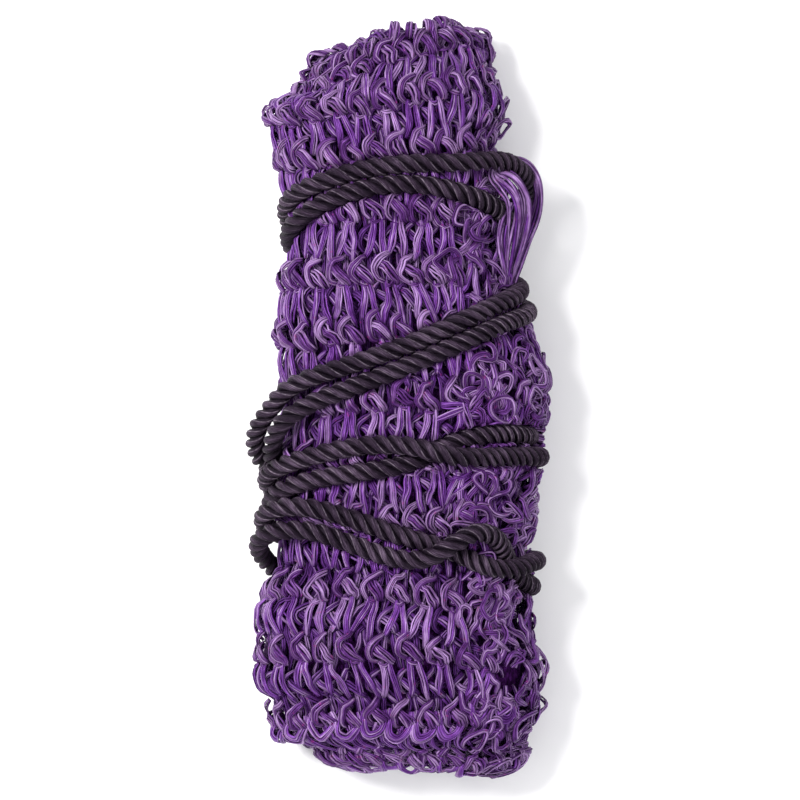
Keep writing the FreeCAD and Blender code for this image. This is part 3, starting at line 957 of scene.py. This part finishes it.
def net_layer(skin, space, names, groups, between, offset, depth):
    """The knots of one layer, in a band of rows for each of names, with a piece for each group.

    groups has, for each, the end of its pieces' names, its parts of a knot and its material.
    """
    share, along, rows = knot_places(skin, between, offset)
    messy = untidiness(skin, share, along)
    kept = RANDOM.random(len(share)) > 0.25 * messy
    share, along, rows, messy = share[kept], along[kept], rows[kept], messy[kept]
    knots = len(share)
    share = share + RANDOM.normal(0.0, 0.0012, knots) * (1 + 3 * messy)
    along = along + RANDOM.normal(0.0, 0.8 * MM, knots) * (1 + 4 * messy)
    turn = RANDOM.normal(0.0, 0.08, knots) * (1 + 7 * messy)
    size = RANDOM.uniform(0.98, 1.12, knots) * (1 - 0.15 * messy)
    out = depth + RANDOM.normal(0.0, 0.35 * MM, knots) * (1 + 2 * messy)
    bands = rows * len(names) // len(ROWS)
    pieces = []
    for band, name in enumerate(names):
        for label, parts, material in groups:
            twines = Twines(skin, space)
            for part in parts:
                fits = (bands == band) & np.isin(rows, part.rows)
                if fits.any():
                    twines.lay(part, jittered(part.controls, fits.sum(), 0.35), share[fits],
                               along[fits], out[fits], turn[fits], size[fits])
            pieces.append(twines.piece(name + label, material))
    return pieces


def bunched_edge(skin, space, names, material):
    """Small curls and slack stretches of twine where the net's edge is bunched."""
    share = RANDOM.random(BUNCHED_TRIES)
    along = RANDOM.uniform(0.006, skin.along[-1] - 0.02, BUNCHED_TRIES)
    messy = untidiness(skin, share, along)
    kept = RANDOM.random(BUNCHED_TRIES) < BUNCHED_DENSITY * messy
    share, along = share[kept], along[kept]
    kind = RANDOM.random(len(share))
    band = (along * len(names) / skin.along[-1]).astype(int)
    pieces = []
    for number, name in enumerate(names):
        twines = Twines(skin, space)
        for least, most, part, stray, turned in BUNCHED_KINDS:
            chosen = (band == number) & (kind >= least) & (kind < most)
            knots = chosen.sum()
            twines.lay(
                part, jittered(part.controls, knots, stray), share[chosen], along[chosen],
                depth=RANDOM.normal(-1.0 * MM, 0.9 * MM, knots),
                turn=RANDOM.normal(0.0, turned, knots),
                size=RANDOM.uniform(0.75, 1.15, knots),
            )
        pieces.append(twines.piece(name, material))
    return pieces


class EndPatch:
    """The blunt end of the roll as a domed patch, which Twines can use in place of a Skin.

    A place on it is a distance across the roll and a height, both in metres.
    """

    INSET = 5.0 * MM            # of the patch inside the skin's end
    LEAN = 1.2                  # how strongly the outward direction follows the dome's slope

    def __init__(self, skin, end):
        self.slant = skin.BOTTOM_SLANT if end < 0 else skin.MOUTH_SLANT
        self.dome = skin.CAP[-1][1]
        self.sign = float(end)
        rim = skin.rings[len(skin.CAP) if end < 0 else -1 - len(skin.CAP)]
        low, high = rim.min(axis=0), rim.max(axis=0)
        self.middle = (low + high) / 2
        self.half = (high - low) / 2 - self.INSET
        self.edge = (rim[:, 1] - end_shift(self.slant, rim[:, 0])).mean()
        self.along = np.array([-1.0, 1.0])      # far above the roll: nothing is past it

    def girth_at(self, along):
        return np.ones_like(along)

    def at(self, across, up, out):
        """Places on the patch, and out from it, with its outward direction there."""
        first = (across - self.middle[0]) / self.half[0]
        second = (up - self.middle[2]) / self.half[2]
        reach = np.sqrt(first ** 2 + second ** 2)
        dome = self.dome * np.clip(1.0 - reach ** 2, 0.0, 1.0) - self.INSET
        normal = unit(np.stack([
            self.dome * first / self.half[0] * self.LEAN,
            np.full_like(across, self.sign),
            self.dome * second / self.half[2] * self.LEAN], axis=-1))
        shrink = 1.0 / np.maximum(reach, 1.0)
        place = np.stack([
            self.middle[0] + first * shrink * self.half[0],
            self.edge + self.sign * dome,
            self.middle[2] + second * shrink * self.half[2]], axis=-1)
        place[..., 1] += end_shift(self.slant, place[..., 0])
        return place + normal * out[..., None], normal


FOLD_INSETS = np.array((7.0, 14.0, 20.5)) * MM
FOLD_PITCH = 10.0 * MM      # from knot to knot along a fold's rim
OVAL_STEPS = 400


def tucked_in(controls):
    """A part of a knot with its lower stretch shorter, and deeper the further it goes."""
    start = -5.0
    return [(x, 0.4 * y, z + 0.45 * (y - start)) if y < start else (x, y, z)
            for x, y, z in controls]


def net_end(skin, space, name, end, material):
    """The end of the roll: the rims of the folds inside it, one within another."""
    patch = EndPatch(skin, end)
    twines = Twines(patch, space)
    across, up, turn = [], [], []
    angles = np.linspace(0.0, 2 * math.pi, OVAL_STEPS)
    for inset in FOLD_INSETS:
        half = patch.half - inset
        oval = np.stack([half[0] * np.cos(angles), half[2] * np.sin(angles)], axis=1)
        gone = distance_along(oval)
        knots = int(gone[-1] / FOLD_PITCH)
        angle = np.interp(np.arange(knots) / knots * gone[-1], gone, angles)
        across.append(patch.middle[0] + half[0] * np.cos(angle))
        up.append(patch.middle[2] + half[2] * np.sin(angle))
        turn.append(np.arctan2(-np.cos(angle) / half[0], np.sin(angle) / half[2]))
    across, up, turn = (np.concatenate(values) for values in (across, up, turn))
    knots = len(across)
    across = across + RANDOM.normal(0.0, 0.8 * MM, knots)
    up = up + RANDOM.normal(0.0, 0.8 * MM, knots)
    own = dict(share=across, along=up, depth=RANDOM.normal(-0.8 * MM, 0.8 * MM, knots),
               turn=turn + RANDOM.normal(0.0, 0.15, knots),
               size=RANDOM.uniform(0.85, 1.0, knots))
    for part in LEG_PARTS + KNOT_PARTS:
        twines.lay(part, jittered(tucked_in(part.controls), knots, 0.4), **own)
    # two layers of slack twine under them, the lower one across the upper
    own["depth"] = RANDOM.normal(-4.2 * MM, 0.8 * MM, knots)
    twines.lay(END_FILLER, jittered(SLACK, knots, 1.0), **own)
    own["turn"] = turn + RANDOM.normal(1.2, 0.5, knots)
    own["depth"] = RANDOM.normal(-5.6 * MM, 0.8 * MM, knots)
    twines.lay(END_FILLER, jittered(SLACK, knots, 1.0), **own)
    return twines.piece(name, material)


CORE_INSET = 8.0 * MM       # how far below the skin the core lies, and how much more at the ends
CORE_END_INSET = 6.0 * MM
CORE_END_RINGS = 4          # past the cap, over which that eases out
CORE_ROUGHNESS = 0.45 * MM


def net_depth(skin, space, material):
    """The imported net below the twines, as one closed rough surface."""
    rings, points = skin.rings.shape[:2]
    share = np.arange(points) / points
    grid_share = np.broadcast_to(share, (rings, points))
    grid_along = np.broadcast_to(skin.along[:, None], (rings, points))
    from_end = np.minimum(np.arange(rings), np.arange(rings)[::-1])
    at_end = 1.0 - ease(from_end, len(skin.CAP), len(skin.CAP) + CORE_END_RINGS)
    inset = CORE_INSET + CORE_END_INSET * at_end
    rough = RANDOM.normal(0.0, CORE_ROUGHNESS, (rings, points))
    places, normals = skin.at(grid_share, grid_along, rough - inset[:, None])
    places = space.press(places, normals)
    marks = np.linspace(0.0, skin.along[-1], rings)[None]
    return tube_mesh("net_depth", [(places[None], marks)], material)


# ---- the gathered mouth meshes ----

SLACK_THICKNESS = 0.68 * MM


def slack_twines(points, fan, count):
    """Flat twines side by side along a line, in a band as wide each way as fan."""
    along, _, _ = untwisted_axes(points)
    flat_side = unit(np.cross(along, (0.0, 0.0, 1.0)))
    out = np.cross(flat_side, along)
    upward = np.array((0.0, 0.0, 1.0))
    gone = distance_along(points)
    share = gone / gone[-1]
    bundles = []
    for k in range(count):
        place = (k + RANDOM.uniform(0.1, 0.9)) / count * 2 - 1
        phase, rate = RANDOM.random(2)
        drift = 0.22 * np.sin(2 * math.pi * (share * (1 + rate) + phase))
        lift = 0.8 * MM * np.sin(2 * math.pi * (share * (0.8 + rate) + 2 * phase))
        lift = lift + RANDOM.normal(0.0, 0.5 * MM)
        middle = points + flat_side * (fan * (place + drift))[:, None] + upward * lift[:, None]
        roll = RANDOM.normal(0.0, 0.35) + 0.5 * np.sin(2 * math.pi * (share * 1.7 + phase))
        width = 2 * MM * RANDOM.uniform(0.5, 1.35)
        rings = ribbon_rings(middle, flat_side, out, roll, width, SLACK_THICKNESS)
        bundles.append((rings[None], (gone + RANDOM.uniform(0, 2))[None]))
    return bundles


def gather_piece(material):
    """The mouth meshes hung over the cord's end, fanned out on each leg, and those beside it."""
    points = spline_points("gather_line", GATHER_ROUTE)
    share = distance_along(points)
    share = share / share[-1]
    left_leg = ease(share, 0.02, 0.22) * (1.0 - ease(share, 0.36, 0.48))
    right_leg = ease(share, 0.66, 0.76) * (1.0 - ease(share, 0.86, 0.99))
    bundles = slack_twines(points, MM * (1.7 + 3.2 * left_leg + 1.2 * right_leg), 12)
    points = spline_points("mouth_line", MOUTH_ROUTE)
    bundles += slack_twines(points, np.full(len(points), 1.6 * MM), 4)
    return tube_mesh("mouth_gather_twines", bundles, material)


# ---- floor and light ----

FLOOR_GAP = 0.2 * MM        # below the roll, which would otherwise share its plane


def add_floor():
    mesh = bpy.data.meshes.new("floor")
    half = 3.0
    mesh.from_pydata([(-half, -half, 0), (half, -half, 0), (half, half, 0), (-half, half, 0)],
                     [], [(0, 1, 2, 3)])
    mesh.materials.append(floor_material())
    floor = bpy.data.objects.new("floor", mesh)
    floor.location.z = -FLOOR_GAP
    bpy.context.collection.objects.link(floor)


def add_light(name, place, size, power, colour):
    data = bpy.data.lights.new(name, "AREA")
    data.shape = "DISK"
    data.size = size
    data.energy = power
    data.color = colour
    light = bpy.data.objects.new(name, data)
    light.location = place
    target = Vector((0.0, 0.0, 0.02))
    light.rotation_euler = (target - Vector(place)).to_track_quat("-Z", "Y").to_euler()
    bpy.context.collection.objects.link(light)


def add_lights():
    add_light("key", (-0.75, 0.4, 1.25), 0.55, 30.0, (1.0, 0.99, 0.98))
    add_light("fill", (0.9, -0.5, 1.3), 0.9, 7.0, (0.98, 0.99, 1.0))
    world = bpy.data.worlds.new("studio")
    world.use_nodes = True
    background = world.node_tree.nodes["Background"]
    background.inputs["Color"].default_value = (0.98, 0.98, 1.0, 1.0)
    background.inputs["Strength"].default_value = 0.85
    bpy.context.scene.world = world
    bpy.context.scene.view_settings.view_transform = "Standard"


# ---- the whole model ----

def keep(piece, node):
    """Puts a piece under its body's empty and hides the CAD node that it replaces."""
    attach(piece, BODY)
    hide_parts(node)


add_camera()
cord_line = spline_points("drawcord_line", CORD_ROUTE)
cord = tube_mesh("drawcord_rope", [twisted_strands(cord_line)], cord_material())
keep(cord, "drawcord")

leg_twine = twine_material("purple_twine_legs", VIOLET, 0.42, 0.18)
knot_twine = twine_material("purple_twine_knots", MAUVE, 0.52, 0.22)
# painted shade: the bunched edge and the ends in a darker copy of the twine
bunched_shaded_twine = twine_material("purple_twine_bunched_shaded", SHADED, 0.40, 0.24)
# painted shade: the layers deep in the roll in a darker copy of the twine
inner_shaded_twine = twine_material("purple_twine_inner_shaded", INNER, 0.30, 0.32)
gather_twine = twine_material("purple_twine_gather", VIOLET, 0.60, 0.24)

skin = Skin(["net_outer_leaf", "net_middle_leaf"])
space = CordSpace(cord_line, CORD_DIAMETER / 2 + CORD_CLEARANCE)
OUTER_NAMES = ["net_rows_bottom", "net_rows_lower", "net_rows_upper", "net_rows_mouth"]
OUTER_GROUPS = (("_legs", LEG_PARTS + RIM_LOOPS, leg_twine),
                ("_knots", KNOT_PARTS + RIM_BUMPS, knot_twine))
for piece in net_layer(skin, space, OUTER_NAMES, OUTER_GROUPS, between=0.0, offset=0.0,
                       depth=-1.5 * MM):
    keep(piece, "net_outer_leaf")
EDGE_NAMES = ["net_bunched_edge_lower", "net_bunched_edge_upper"]
for piece in bunched_edge(skin, space, EDGE_NAMES, bunched_shaded_twine):
    keep(piece, "net_outer_leaf")
for name, end in (("net_end_bottom", -1), ("net_end_mouth", 1)):
    keep(net_end(skin, space, name, end, bunched_shaded_twine), "net_outer_leaf")
INNER_GROUPS = (("", INNER_PARTS, inner_shaded_twine),)
# Layers seen through the gaps: names, how far between the rows, offset in columns, depth, node.
INNER_LAYERS = (
    (("net_inner_rows_bottom", "net_inner_rows_mouth"), 0.5, 0.25, -4.6 * MM, "net_middle_leaf"),
    (("net_deep_rows_bottom", "net_deep_rows_mouth"), 0.25, 0.6, -6.6 * MM, "net_inner_leaf"),
)
for names, between, offset, depth, node in INNER_LAYERS:
    for piece in net_layer(skin, space, names, INNER_GROUPS, between, offset, depth):
        keep(piece, node)
keep(net_depth(skin, space, core_shade_material()), "net_inner_leaf")
keep(gather_piece(gather_twine), "mouth_gather")

add_floor()
add_lights()
